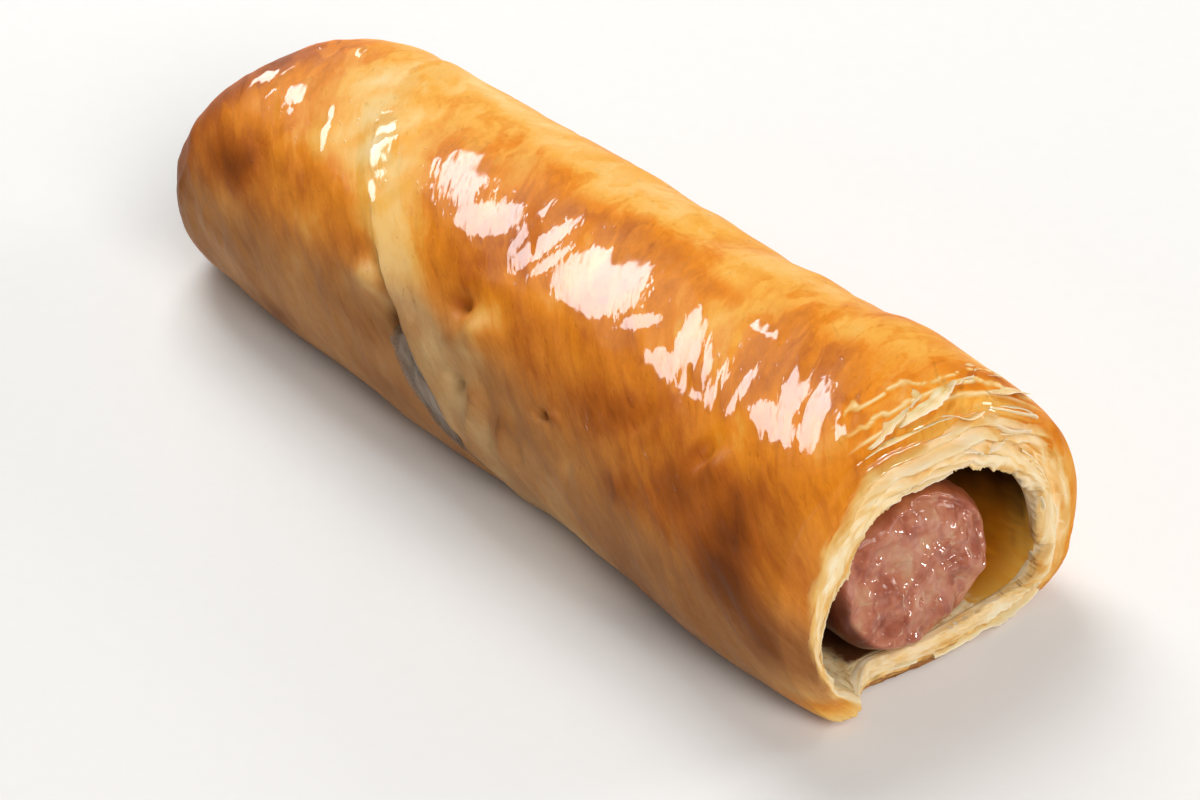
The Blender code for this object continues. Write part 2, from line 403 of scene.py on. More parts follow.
# Low swells of the crust: place along X, angle round the roll, reach along, reach
# round, and height, in mm and degrees.
SWELLINGS = (
    (-70, 75, 26, 62, -1.3), (-58, 215, 13, 38, -1.6), (18, 205, 20, 38, -1.6),
    (53, 208, 14, 40, 1.4), (17, 55, 8, 32, -0.9), (56, 50, 24, 45, 1.1),
    (75, -8, 18, 40, 1.3), (75, 325, 8, 12, 1.4),
)
# Dimples, slits and creases in it, in the same way, mostly longer round than along.
DENTS = (
    (4.8, 169, 2.6, 5, -2.2), (9.2, 167, 1.8, 5, 0.9), (23, 158, 1.9, 2.4, -1.7),
    (25.5, 156, 1.8, 2.6, 0.8), (25.5, 177, 1, 3, -0.35), (-0.6, 140, 3, 6, -2.1),
    (5.4, 146, 4.2, 9, 2), (1, 153, 2.6, 6, 0.9), (2, 128, 5, 7, 0.4),
    (53.5, 135, 1.8, 9, -1.3), (57.5, 137, 2.8, 9, 0.8), (39.5, 139, 1.8, 7, -0.6),
    (43, 139, 2.4, 8, 0.35), (9, 179, 1.5, 11, 0.8), (12.5, 181, 1.3, 10, -0.8),
    (15.5, 176, 1.4, 12, 0.8), (19, 179, 1.3, 9, -0.7), (31, 171, 1.6, 10, -0.55),
    (41, 168, 1.6, 12, 0.5), (44.5, 163, 1.3, 12, -0.25), (-18, 152, 6, 9, 2.6),
    (-22.5, 157, 3, 8, -0.6), (-11, 160, 2.4, 5, -1.5), (-30, 165, 2, 10, -0.35),
    (-36, 150, 3, 9, 0.35), (-62, 178, 1.3, 14, -0.45), (-66.5, 172, 1.2, 16, 0.45),
    (-58.5, 174, 1.3, 12, 0.35), (-54, 180, 1.2, 12, -0.3), (-50, 152, 2.2, 9, -0.35),
    (-47, 120, 2, 12, 0.3), (-26, 118, 2, 14, 0.45), (-30.5, 112, 1.6, 12, -0.4),
    (-35, 104, 2, 13, 0.35), (13.5, 62, 4, 14, -0.5), (70, 48, 2.5, 16, 0.35),
)
# Where the baked skin has shrunk into fine crinkles, in the same way.
CRINKLED = (
    (43, 107, 14, 22, 0.9), (63, 110, 9, 16, 0.4), (3, 106, 6, 15, 0.5),
    (-30, 108, 12, 20, 0.6), (-55, 112, 8, 14, 0.3), (-10, 103, 5, 12, 0.7),
    (66, 75, 10, 30, 0.8), (25, 88, 12, 8, 0.5), (8, 172, 12, 18, 0.3),
    (-30, 20, 30, 30, 0.4), (30, 350, 30, 30, 0.5),
)


def round_places(x, angle):
    """Places on a plain tube, where the crust's noises are read."""
    return np.stack([x, MEAN_RADIUS * np.cos(angle), MEAN_RADIUS * np.sin(angle)], axis=-1)


def laid_flat(z, floor):
    """The height z, pressed flat where it would pass below the floor."""
    over = z - floor
    softened = floor + (over + BASE_SOFTNESS) ** 2 / (4 * BASE_SOFTNESS)
    return np.where(over > BASE_SOFTNESS, z, np.where(over < -BASE_SOFTNESS, floor, softened))


def lap_line(angle):
    """Where along X the lap crosses the crust."""
    return LAP_MIDDLE + LAP_SLANT * np.cos(angle - LAP_LOWEST)


def wound(x, angle):
    """Places on the plain tube, turned so that the dough's grain runs beside the lap."""
    return round_places(x - 0.85 * LAP_SLANT * np.cos(angle - LAP_LOWEST), angle)


def lap_proud(angle):
    """The lip stands proud on the front flank and is pressed flat over the back."""
    return 0.35 + 0.65 * facing(angle, 165, 60)


def curl(x, amount):
    """How much of its full size the roll keeps at x, near the end that curls in."""
    inside = np.clip((x - FAR_CUT) / CURL_RADIUS, 0, 1)
    return 1 - amount * (1 - np.sqrt(np.clip(1 - (1 - inside) ** 2, 0, 1)))


def foot_shift(x, angle):
    """How far the torn foot of the cut stands out, or back, along X."""
    to_cut = smooth(1 - (NEAR_CUT - x) / RIM_REACH)
    toe = facing(angle, TOE_ANGLE, TOE_SPREAD)
    torn = facing(angle, FOOT_ANGLE, FOOT_SPREAD)
    return to_cut * (toe * TOE_LENGTH - torn * FOOT_SET_BACK)


def spots(table, x, angle):
    """The sum of soft spots: each a place along X, a turn, its two reaches and its amount."""
    total = 0 * x
    for place, degrees, along, round_it, amount in table:
        away = turn_from(angle, degrees)
        total = total + amount * bell(x / MM - place, along) * bell(away, round_it)
    return total


def swells(x, angle):
    """The low swells of the crust, and the evener heaving between them."""
    about = MM * np.stack([x / (26 * MM), np.cos(angle) * 1.1, np.sin(angle) * 1.1], axis=-1)
    return MM * (spots(SWELLINGS, x, angle) + 0.55 * grain(about, 1))


def wrinkles(x, angle):
    """The fine relief of baked dough: heaves, dents, and creases round the roll."""
    places = wound(x, angle)
    heave = 0.55 * grain(places, (12, 15, 15), 2)
    folds = facing(angle, 172, 48)
    heave = heave + 0.26 * folds * grain(places + 9, (3.2, 9, 9), 2)
    ripple = 0.09 * grain(places, (3.6, 7, 7), 3)
    ridge = 1 - 4 * np.abs(grain(places + 3, (3.4, 11, 11), 3))
    shards = 0.16 * np.clip(ridge, -1, 1) * np.clip(spots(CRINKLED, x, angle), 0, 1)
    return MM * (heave + ripple + shards + spots(DENTS, x, angle))


def crust_points(x, angle, relief):
    """Points of the crust at x and an angle, lifted off its plain form by the relief."""
    size = 1 + TAPER * x / ROLL_LENGTH
    height = ROLL_HEIGHT * size
    middle = WIDEST_AT * height
    half = ROLL_WIDTH / 2 * size
    y, z = oval(angle, half + relief, height - middle + relief, TUCK_UNDER * height)
    shut = curl(x, CURLED_IN)
    to_cut = 1 - np.clip((NEAR_CUT - x) / RIM_REACH, 0, 1)
    rounding = 1 - to_cut**2 * RIM_ROUNDING / (ROLL_WIDTH / 2)
    y = y * shut * rounding
    z = laid_flat(middle + z * shut * rounding, 0)
    return np.stack([x + SET_BACK + lean(x, z) + foot_shift(x, angle), y, z], axis=-1)


def hollow_points(x, angle):
    """Points of the wall of the hollow."""
    deep = smooth((NEAR_CUT - x) / MOUTH_DEPTH)
    shut = curl(x, HOLLOW_CURL)
    wide = shut * (1 + (HOLLOW_NARROWING - 1) * deep)
    high = shut * (1 + (HOLLOW_LOWERING - 1) * deep)
    about = MM * np.stack([x / (18 * MM), np.cos(angle) * 1.6, np.sin(angle) * 1.6 + 7], axis=-1)
    uneven = 0.5 * MM * grain(about, 1)
    uneven = uneven - SAG * facing(angle, SAG_ANGLE, SAG_SPREAD) * (1 - deep)
    y, z = oval(
        angle,
        HOLLOW_WIDTH / 2 * wide + uneven,
        (HOLLOW_TOP - HOLLOW_WIDEST) * high + uneven,
        HOLLOW_DROP * high,
    )
    z = laid_flat(HOLLOW_WIDEST + HOLLOW_LIFT * (1 - shut) + z, FLOOR_TOP)
    return np.stack([x + SET_BACK + lean(x, z) + foot_shift(x, angle), y, z], axis=-1)


def angles_round(count):
    """Angles round the roll, about half as dense on the base, which can't be seen."""
    even = np.linspace(0, 2 * np.pi, 2000, endpoint=False)
    weight = 1 - 0.5 * facing(even, 270, 55)
    run = np.concatenate([[0], np.cumsum(weight)])
    wanted = np.linspace(0, run[-1], count, endpoint=False)
    return np.interp(wanted, run, np.append(even, 2 * np.pi))


def by_turn(angle, *pairs):
    """A value that goes evenly from one turn in degrees to the next."""
    turns, values = zip(*pairs)
    return np.interp(np.degrees(angle), turns, values, period=360)


# Where the oven has browned the glaze more or less, as place, turn, reaches, change.
BROWNED = (
    (6, 84, 12, 9, 0.13), (-12, 82, 8, 7, 0.09), (30, 86, 12, 7, 0.04),
    (36, 140, 5, 8, 0.1), (66, 170, 8, 13, 0.32), (68, 152, 6, 8, 0.08),
    (72, 184, 6, 12, 0.18), (48, 162, 18, 14, 0.11), (28, 150, 7, 12, 0.1),
    (-3, 123, 3, 5, 0.1), (18.5, 111, 2, 3, 0.12), (26, 177, 3, 5, 0.14),
    (-1.5, 140, 3, 5, 0.16), (52, 135, 2, 6, 0.14), (5, 142, 5, 10, -0.26),
    (-16, 138, 8, 13, -0.14), (-17.5, 151, 7, 11, -0.23), (6, 152, 6, 8, -0.22),
    (16, 165, 8, 9, -0.14), (-30, 162, 26, 12, -0.06), (-10, 181, 9, 10, -0.1),
    (18, 181, 14, 10, -0.06), (-40, 116, 12, 16, -0.16), (-30, 132, 12, 14, -0.14),
    (-38, 148, 11, 12, -0.16), (-44, 108, 6, 20, -0.1), (-34, 54, 20, 17, -0.22),
    (-44, 88, 8, 14, -0.07), (71, 52, 6, 22, 0.18), (-57, 138, 9, 25, 0.12),
    (53, 146, 5, 17, 0.14), (65, 148, 6, 28, 0.13), (29, 160, 6, 12, 0.09),
    (42, 166, 6, 8, 0.1), (4, 136, 5, 16, -0.1), (-44, 140, 5, 8, -0.1),
    (-33, 147, 6, 8, -0.08), (28, 80, 6, 8, -0.14), (52, 75, 6, 13, -0.13),
    (-20, 75, 6, 6, 0.1), (-38, 196, 14, 8, 0.08), (12, 122, 12, 6, -0.06),
    (74, 203, 6, 14, -0.16), (77, 219, 5, 9, -0.6), (-70, 170, 9, 60, 0.1),
    (-70, 95, 8, 60, 0.26), (-57, 146, 8, 14, 0.18), (-30, 20, 22, 30, 0.08),
    (30, 350, 26, 26, -0.06), (60, 20, 16, 30, -0.04),
)
# Where the egg glaze lies thick and shines: place, turn, the two half sizes, how far
# the patch slants in mm for each degree, and how solid it is.
GLAZED = (
    (-66.5, 107, 1.7, 7, 0.1, 1), (-63.3, 105, 0.9, 9, 0.2, 0.9),
    (-58.3, 103, 2.2, 8, 0.15, 1), (-55.3, 113.5, 0.7, 1.6, 0.1, 1),
    (-46.7, 112, 0.8, 9.5, 0.41, 0.9), (-43, 124, 1, 2.2, 0.3, 0.7),
    (-61.8, 75, 0.8, 4, 0.3, 0.8), (-38.3, 101, 2.6, 6.5, 0.4, 0.6),
    (-33.5, 111, 1.8, 6, 0.55, 0.7), (-26.8, 126, 1, 7, 0.55, 0.8),
    (-17.3, 124.5, 0.5, 3, 0.5, 0.8), (-14.4, 131.5, 0.4, 2.6, 0.5, 0.8),
    (-18.5, 144, 0.8, 1.2, 0.3, 0.8), (-16.6, 152.5, 0.5, 1.2, 0.3, 0.9),
    (-20, 99, 5, 12, 0.3, 0.42), (-8.8, 108, 4.4, 10, -0.12, 1),
    (-2.2, 104, 0.8, 12, 0.2, 0.6), (1.9, 105, 1.7, 14, 0.05, 0.9),
    (5.7, 109, 1, 9.5, 0.02, 0.9), (15.2, 105, 8, 14.5, 0.07, 1.5),
    (26.5, 110, 1.6, 5.5, -0.2, 0.7), (27.2, 128.5, 1.2, 1.9, 0.1, 0.8),
    (30, 124, 0.5, 2.2, 0.05, 0.8), (35, 120, 3.6, 6.5, 0.1, 1),
    (34.5, 107, 1.6, 13, 0.28, 0.85), (38.5, 111, 1.2, 13, 0.35, 0.85),
    (42.5, 112, 1, 10, 0.5, 0.75), (46, 113, 1, 9, 0.3, 0.75),
    (50.5, 112, 1, 9.5, 0.2, 0.75), (43.5, 120.5, 3.6, 1.6, 0.1, 0.7),
    (41, 89.5, 4.6, 1.6, 0.5, 0.6), (60, 115, 5, 6.5, 0.3, 1.2),
    (57.5, 102, 2.4, 10, 0.35, 0.9), (64, 105, 2.2, 12.5, 0.35, 1),
    (62.2, 121, 0.8, 3.4, -0.95, 0.7), (71.2, 117, 1, 6.8, -0.31, 0.9),
    (70, 105.5, 1.1, 6.4, 0.55, 0.9), (75, 98, 1.4, 18, 0.1, 1),
    (69.3, 71, 0.45, 7.5, 0.66, 0.7), (49.5, 77, 0.5, 2.4, 1, 0.7),
    (73, 68, 0.5, 6, 0.5, 0.8), (76, 62, 1.2, 7, 0.3, 0.9), (-58, 24, 1.2, 5, 0.4, 0.9),
    (-41, 30, 2.2, 4, 0.45, 1), (-28, 20, 1, 5, 0.4, 0.8), (-9, 27, 1.4, 5, 0.5, 0.9),
    (4, 21, 2.6, 4, 0.4, 1), (24, 29, 1.1, 6, 0.5, 0.9), (37, 22, 1.8, 4, 0.4, 0.9),
    (56, 26, 1.3, 5, 0.45, 0.9),
)


def patches(table, x, angle):
    """How far inside a glaze patch a place lies: 0.5 at its rim, more towards its middle."""
    deepest = 0 * x
    for place, degrees, along, round_it, slant, solid in table:
        away = turn_from(angle, degrees)
        aside = x / MM - place - slant * away
        inside = 0.5 + 0.5 * solid * (1 - np.hypot(aside / along, away / round_it))
        deepest = np.maximum(deepest, inside)
    return deepest


def browning(x, angle, relief):
    """How dark the glaze has baked, from 0 to 1, at a place of the crust."""
    by_side = (
        (-90, 0.62), (-62, 0.54), (-30, 0.5), (0, 0.49), (30, 0.45), (50, 0.41), (66, 0.43),
        (78, 0.51), (95, 0.6), (125, 0.63), (145, 0.68), (165, 0.67), (182, 0.65),
        (200, 0.63), (222, 0.61), (245, 0.62),
    )
    places = round_places(x, angle)
    uneven = 0.13 * grain(places, 15, 2) + 0.05 * grain(places + 1, (6, 9, 9), 2)
    risen = np.clip(relief / (0.5 * MM), -1, 1) * 0.05
    return by_turn(angle, *by_side) + spots(BROWNED, x, angle) + uneven + risen


crust, paint = new_finish(
    "glazed_crust",
    {
        "Subsurface Weight": 0.05,
        "Subsurface Radius": (1.0, 0.55, 0.25),
        "Subsurface Scale": 0.002,
        "Specular IOR Level": 0.1,
        "Coat Roughness": 0.07,
        "Coat IOR": 1.6,
    },
)
unrolled = paint.places("unrolled")
patch = unrolled.speckle((9, 12, 12), 4, 0.5)
mottle = unrolled.speckle((2.2, 3.2, 3.2), 6, 0.8)
pore = unrolled.speckle((0.45, 0.6, 0.6), 2)
brushstroke = unrolled.speckle((1.1, 3.2, 3.2), 5, 1.4)
island = unrolled.speckle((4, 7, 7), 5, 0.8).between(0.44, 0.58)
uneven = 0.24 * (patch - 0.5) + 0.13 * (mottle - 0.5)
uneven = uneven + 0.07 * (brushstroke - 0.5) + 0.08 * (pore - 0.5)
baked = paint.kept("browning") + uneven + paint.kept("island") * (island - 0.45)
glazed = baked.tinted(
    (
        (0, (0.9, 0.7, 0.39)),
        (0.22, (0.88, 0.57, 0.19)),
        (0.4, (0.86, 0.42, 0.062)),
        (0.56, (0.77, 0.245, 0.008)),
        (0.74, (0.48, 0.115, 0.004)),
        (1, (0.17, 0.036, 0.004)),
    )
)
# The dry lower flanks take a dull tan that is also darkened as painted shade.
dull_and_shaded = paint.kept("dry")
tan = baked.tinted(
    ((0.3, (0.62, 0.42, 0.2)), (0.55, (0.41, 0.21, 0.08)), (0.85, (0.18, 0.06, 0.014)))
)
ring = paint.places("ring")
fibre = ring.speckle((0.8, 8, 8), 4, 0.5)
cloud = ring.speckle((2.2, 8, 8), 4, 0.8)
inner = (0.25 * fibre + 0.75 * cloud).tinted(
    (
        (0.35, (0.79, 0.42, 0.1)),
        (0.45, (0.88, 0.62, 0.28)),
        (0.54, (0.93, 0.73, 0.43)),
        (0.66, (0.96, 0.84, 0.61)),
    )
)
half_baked = (0.4 * fibre + 0.6 * cloud).tinted(
    ((0.3, (0.66, 0.31, 0.055)), (0.5, (0.8, 0.47, 0.13)), (0.7, (0.86, 0.62, 0.26)))
)
torn = paint.kept("torn") + 0.16 * (fibre - 0.5) + 0.16 * (cloud - 0.5)
skin_tone = dull_and_shaded.mixed(glazed, tan)
to_half = torn.between(0.05, 0.5).mixed(skin_tone, half_baked)
torn_edge = torn.between(0.35, 0.95)
paint.onto("Base Color", torn_edge.mixed(to_half, inner))
paint.onto("Roughness", 0.42 + 0.16 * mottle + 0.14 * torn_edge)
brushed = unrolled.speckle((1.2, 5, 5), 5, 0.7)
crackle = unrolled.speckle((1.0, 6, 6), 5, 1.5)
crinkled = paint.kept("crinkled")
uneven = 0.45 * (brushed - 0.5) + 1.1 * crinkled * (crackle - 0.5)
shine = (paint.kept("glaze") + uneven).between(0.46, 0.53)
sparkle = unrolled.speckle((0.7, 1.5, 1.5), 3, 0.6)
stray = (paint.kept("glaze") + 1.7 * (sparkle - 0.5)).between(0.62, 0.67)
scraped = unrolled.speckle((0.5, 4, 4), 4, 1.0).between(0.5, 0.62)
blister = unrolled.speckle((0.9, 1.4, 1.4), 2, 0.3).between(0.66, 0.74)
wet = (shine * (1 - 0.45 * scraped) + stray + 0.5 * blister).between(0, 1)
paint.onto("Coat Weight", (0.02 + 0.98 * wet) * (1 - torn_edge))
flaky = 0.3 * fibre + 0.2 * pore
smooth_skin = 0.18 * mottle + 0.05 * pore + 0.35 * blister
paint.raised(smooth_skin * (1 - torn_edge) + flaky * torn_edge, 0.6, 0.5 * MM)


def finish_crust(piece, x, angle, walk, relief, torn, edge_of_dough):
    """Gives a strip of dough the crust finish and what that finish reads."""
    # The lap has kept a pale band beside it, and its laid edge is paler still.
    past = (x - lap_line(angle)) / MM
    early = by_turn(angle, (80, 1), (100, 6), (132, 6), (152, 1), (240, 1))
    band = smooth((past + early) / (1.5 + early)) * (1 - smooth((past - 6) / 7))
    band = band * by_turn(
        angle, (60, 0), (100, 0.25), (118, 0.8), (140, 1), (175, 0.7), (200, 0.3), (230, 0)
    )
    spread = by_turn(angle, (60, 0), (85, 0.6), (112, 0.9), (135, 0.3), (160, 0))
    spread = spread * bell(past - 2, 13) * (1 + 1.2 * grain(round_places(x, angle), 5, 2))
    band = np.maximum(band, spread)
    edge = edge_of_dough * by_turn(angle, (60, 1), (85, 0), (115, 0), (148, 1), (240, 1))
    keep(piece, "browning", browning(x, angle, relief) - 0.28 * band - 0.22 * edge)
    keep(piece, "glaze", patches(GLAZED, x, angle))
    keep(piece, "crinkled", np.clip(spots(CRINKLED, x, angle), 0, 1))
    # Little egg has run down the flanks, so they are dry, less so where they are dark. Their dull
    # tan is also painted darker, as shade on the lower flanks.
    dry = by_turn(
        angle,
        *((-90, 0.8), (-50, 0.5), (-20, 0.1), (125, 0)),
        *((150, 0.35), (165, 0.75), (178, 0.85), (240, 1)),
    )
    dry = dry + 0.45 * bell(x + 4 * MM, 30 * MM) * facing(angle, 156, 15)
    dark_end = smooth((x - 28 * MM) / (25 * MM)) * facing(angle, 160, 18)
    band_dry_and_shaded = 0.35 * band * by_turn(angle, (128, 0), (150, 1), (240, 1))
    toe = 0.9 * bell((x - NEAR_CUT) / MM, 6) * facing(angle, TOE_ANGLE, 18)
    keep(piece, "dry", np.clip(dry * (1 - 0.6 * dark_end) + band_dry_and_shaded - toe, 0, 1))
    keep(piece, "torn", torn)
    island = by_turn(
        angle, (-60, 0.05), (40, 0.05), (70, 0.1), (92, 0.08), (130, 0.05), (180, 0.02)
    )
    keep(piece, "island", island)
    keep(piece, "unrolled", wound(walk, angle))
    keep(piece, "ring", round_places(walk, angle))
    piece.data.materials.append(crust)
    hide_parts("pastry")
    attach(piece, "root")


def rolled_edge(angle):
    """How thick the dough is along its laid edge, and how far that edge wanders."""
    thick = by_turn(
        angle,
        *((-90, 0.5), (0, 0.42), (55, 0.25), (85, 0.12), (122, 0.12)),
        *((138, 0.3), (150, 0.8), (172, 1.3), (205, 1.1), (240, 0.6)),
    )
    places = round_places(0 * angle, angle)
    wander = 1.6 * grain(places, 9, 2) + 0.7 * grain(places, 2.6, 2)
    return MM * thick, MM * wander * (1.3 - 0.8 * np.clip(thick, 0.5, 1))


def torn_rim(angle, depth, wall):
    """How far a torn end stands out at a depth into the wall, and how much painted shade darkens
    its crevices.
    """
    places = round_places(depth * wall * 6, angle)
    fibres = 0.3 * grain(places, (5.0, 8, 8), 2)
    crumbly = by_turn(angle, (110, 0.15), (215, 0.15), (235, 1), (310, 1), (340, 0.2))
    crumbs = 0.5 * crumbly * grain(places + 5, 1.6, 2)
    leaves = by_turn(
        angle, (-60, 0.2), (20, 0.5), (40, 1), (95, 0.9), (125, 0.3), (225, 0.15), (250, 0.4)
    )
    ring = round_places(0 * angle, angle)
    run = depth * 5 + 1.6 * grain(ring, 26) + 0.7 * grain(ring + 1, 9)
    layer = np.floor(run)
    stair = run - layer
    flap = np.clip(0.9 + 1.3 * grain(round_places(layer * 13 * MM, angle), 6, 2), 0.1, 2)
    steps = (smooth(stair / 0.7) - smooth((stair - 0.8) / 0.2)) * 1.2 * flap
    # Painted shade in the crevices between the leaves.
    crevice_shade = leaves * bell(stair - 0.93, 0.18) * np.clip(flap, 0, 1)
    return MM * (fibres + leaves * (steps - 0.4) + crumbs), crevice_shade


columns = angles_round(380)
inside = [(k * MM, 1.0) for k in (3.4, 3.0, 2.6, 2.2, 1.8, 1.4, 1.0, 0.7, 0.4, 0.2, 0)]
rim = [(0, depth) for depth in np.linspace(0, 1, 26)[-2:0:-1]]
skin = [(share, 0) for share in np.linspace(0, 1, 152) ** 1.12]
stations = inside + rim + skin
along, depth, angle = laid_out(stations, columns)
on_skin = np.arange(len(angle)) >= len(inside + rim) * len(columns)
thick, wander = rolled_edge(angle)
reach = lap_line(angle) + 4 * MM - FAR_CUT
x = FAR_CUT + np.where(on_skin, along * reach, along)
past = x - lap_line(angle)
hollow_by_lap = np.where(past > 0, 0.61, bell(past + 3 * MM, 6 * MM)) * LAP_HOLLOW
relief = swells(x, angle) + wrinkles(x, angle) * smooth((x - FAR_CUT) / (4 * MM))
loose = by_turn(angle, (55, 0.5), (80, 0), (138, 0), (156, 1), (210, 1), (240, 0.5))
relief = relief - loose * (lap_proud(angle) * hollow_by_lap + 0.2 * MM * smooth(past / MM + 0.5))
# Over the top the two strips have baked together, so this one rises to meet the lip.
to_lip = lap_proud(angle) * LAP_RISE * bell(np.maximum(past, 0), LAP_ROLL) - thick - 0.03 * MM
relief = relief + (1 - loose) * to_lip * smooth(1 + past / (4 * MM))
gathers = grain(round_places(0.4 * x, angle), 4, 2)
relief = relief + 0.28 * MM * gathers * bell(x - FAR_CUT - 2 * MM, 7 * MM)
under_lap = (thick + 0.15 * MM) * smooth((past + 3 * MM) / (3 * MM))
outside = crust_points(x, angle, relief)
outside[:, 2] = np.maximum(outside[:, 2], under_lap)
within = hollow_points(x, angle)
dive = 0.7 * MM * smooth((along - 2.2 * MM) / (1.2 * MM)) * ~on_skin
wall = np.linalg.norm(outside - within, axis=-1)
serrated = 0.05 * grain(round_places(0 * x, angle), 2, 2) + 0.02
deep = depth * (1 + serrated * (1 - smooth(along / (3 * MM))) * (depth > 0)) - dive / wall
points = outside + (within - outside) * deep[:, None]
at_rim = (depth > 0) * ~on_skin * (1 - smooth(along / (1.2 * MM)))
pleats = 0.25 * MM * grain(round_places(0 * x, angle), 9)
bulge = (0.9 * MM + pleats) * np.sin(np.pi * np.clip(depth, 0, 1)) ** 2
points[:, 0] -= at_rim * bulge
walk = np.where(on_skin, x, FAR_CUT - depth * wall - along)
torn = 0.55 * smooth((depth - 0.35) / 0.5)
far_strip = woven("far_strip_of_dough", points, [(len(stations), len(columns))])
finish_crust(far_strip, x, angle, walk, relief, torn, 0)

# ---------------------------------------------------------------------------
# The near strip of dough: the same sheet, wound on so that its edge laps over the
# far strip in an oblique raised lip.  A knife has sawn it across at the near end,
# and that cut has torn and puffed into pale leaves round the mouth of the hollow.

# Where the brown skin begins to pale towards the cut and where it is bare dough: the
# turn, and both places in mm from the corner between the skin and the cut.
PALING = (
    (-60, 0.5, 3), (0, 1, 4.5), (28, 0.5, 4.2), (45, -0.5, 3.4), (92, 0.2, 4.6),
    (106, 0.5, 5), (120, 1.6, 6), (145, 3, 8), (185, 3, 8), (206, 2.6, 7.4),
    (216, 3.5, 7.5), (226, 2.5, 5.5), (240, 0.3, 2.5), (262, 0.5, 3), (290, 0.5, 3),
)


def flaked_away(x, angle):
    """How much skin has flaked off by the top of the cut, and how near its pale edges are."""
    flaked = by_turn(angle, (22, 0), (40, 1), (95, 0.9), (112, 0))
    drop, edges = 0 * x, 0 * x
    places = wound(x, angle)
    split = 2.6 * grain(places + 2, (4, 20, 20)) + 0.7 * grain(places, 2.6, 2)
    for before, high in ((6.0, 0.24), (3.4, 0.34), (1.4, 0.34)):
        beyond = (x - NEAR_CUT) / MM + before - split * (before / 4)
        drop = drop + high * MM * flaked * smooth(0.5 + beyond / 0.7)
        edges = np.maximum(edges, 0.9 * flaked * bell(beyond + 0.3, 0.44))
    return drop, edges


columns = angles_round(300)
fine = angles_round(600)
phis = np.radians([-75, -50, -25, 0, 25, 50, 75])
under = [(past * MM, -1, -1) for past in (5, 3.6, 2.4, 1.6, 1.0, 0.5)]
lip = [(0, math.sin(phi), math.cos(phi)) for phi in phis]
top = [(share, 1, -1) for share in np.linspace(0, 0.9, 180)]
near_top = [(0.9 + 0.1 * share, 1, -1) for share in np.linspace(0, 1, 28)[1:]]
rim = [(depth, 2, 0) for depth in np.linspace(0, 1, 30)[1:-1]]
inside = [(k * MM, 3, 0) for k in (0, 0.2, 0.4, 0.7, 1.1, 1.6, 2.2, 2.8, 3.3)]
coarse = laid_out(under + lip + top, columns)
close = laid_out(near_top + rim + inside, fine)
a, level, b, angle = np.concatenate([coarse, close], axis=1)
on_under, on_top = (level == -1) & (b < 0), (level == 1) & (b < 0)
on_rim, on_inside = level == 2, level == 3
on_lip = (b >= 0) & (level < 2)
thick, wander = rolled_edge(angle)
start = lap_line(angle) + wander + thick / 2
x = np.select(
    [on_under, on_lip, on_top, on_inside],
    [start + a, start - thick / 2 * b, start + a * (NEAR_CUT - start), NEAR_CUT - a],
    NEAR_CUT,
)
depth = np.where(on_rim, a, np.where(on_inside, 1.0, 0.0))
height = np.where(on_under, -1, np.where(on_lip, level, 1.0))
past = np.maximum(x - lap_line(angle), 0)
relief = swells(x, angle) + wrinkles(x, angle) * (1 - 0.5 * smooth((x - 70 * MM) / (5 * MM)))
relief = relief + lap_proud(angle) * LAP_RISE * bell(past, LAP_ROLL)
gathers = np.sin(np.degrees(angle) / 5 + 7 * grain(round_places(x, angle), 14, 2))
relief = relief + 0.22 * MM * gathers * bell(past - 1 * MM, 6 * MM) * lap_proud(angle)
relief = relief - thick * (1 - height) / 2
turns, *fading = zip(*PALING)
paling, bare = (by_turn(angle, *zip(turns, places)) for places in fading)
ragged = 1.6 * grain(round_places(x, angle), (40, 6, 6), 3)
torn = smooth(((x - NEAR_CUT) / MM - paling - 0.4 * ragged) / (bare - paling))
drop, edges = flaked_away(x, angle)
relief = relief - drop
torn = np.maximum(torn, edges)
outside = crust_points(x, angle, relief)
outside[:, 2] = np.maximum(outside[:, 2], thick * (1 - height) / 2 * (on_under | on_lip))
within = hollow_points(x, angle)
wall = np.linalg.norm(outside - within, axis=-1)
ring = round_places(0 * x, angle)
serrated = 0.9 * grain(ring, 4.5, 2) + 0.55 * np.abs(grain(ring, 1, 2))
uneven = by_turn(angle, (-60, 0.8), (-30, 1.5), (40, 1.5), (80, 1), (210, 1), (240, 0.5))
serrated = MM * serrated * uneven
fades_in = 1 - smooth(np.where(on_inside, a, 0) / (2.6 * MM))
dive = 0.8 * MM * smooth((a - 2 * MM) / (1.3 * MM)) * on_inside
deep = depth + (serrated * fades_in * depth**6 - dive) / wall
points = outside + (within - outside) * deep[:, None]
convex = by_turn(angle, (-60, 0), (100, 0.2), (140, 0.9), (210, 0.9), (240, 0))
bulge = (RIM_ROUNDING + convex * MM) * np.sin(np.pi * np.clip(depth, 0, 1))
right_side = by_turn(angle, (-50, 0), (-25, 1), (42, 1), (58, 0))
groove = MM * right_side * (2.2 * bell(depth - 0.5, 0.24) - 0.9 * bell(depth - 0.82, 0.2))
stand, crevice_shade = torn_rim(angle, depth, wall)
stand = bulge - groove + stand * np.clip(np.sin(np.pi * depth), 0, 1) ** 0.5
points[:, 0] += np.where(on_rim, stand, 0)
chipped = by_turn(angle, (248, 0), (262, 1), (312, 1), (332, 0))
points[:, 0] -= 1.3 * MM * chipped * smooth((x - NEAR_CUT + 4 * MM) / (4 * MM))
walk = np.where(on_rim | on_inside, NEAR_CUT + depth * wall + a * on_inside, x)
across = (depth * wall / MM - paling - 0.6 * ragged) / (bare - paling)
# The crevices are painted darker, as shade between the layers.
in_cut = smooth(across) + 0.5 * smooth((depth - 0.7) / 0.25) - 1.15 * crevice_shade
torn = np.where(on_rim | on_inside, in_cut, torn)
stretches = [(len(under + lip + top), len(columns)), (len(near_top + rim + inside), len(fine))]
near_strip = woven("near_strip_of_dough", points, stretches)
finish_crust(near_strip, x, angle, walk, relief, torn, on_lip * np.clip(b, 0, 1))

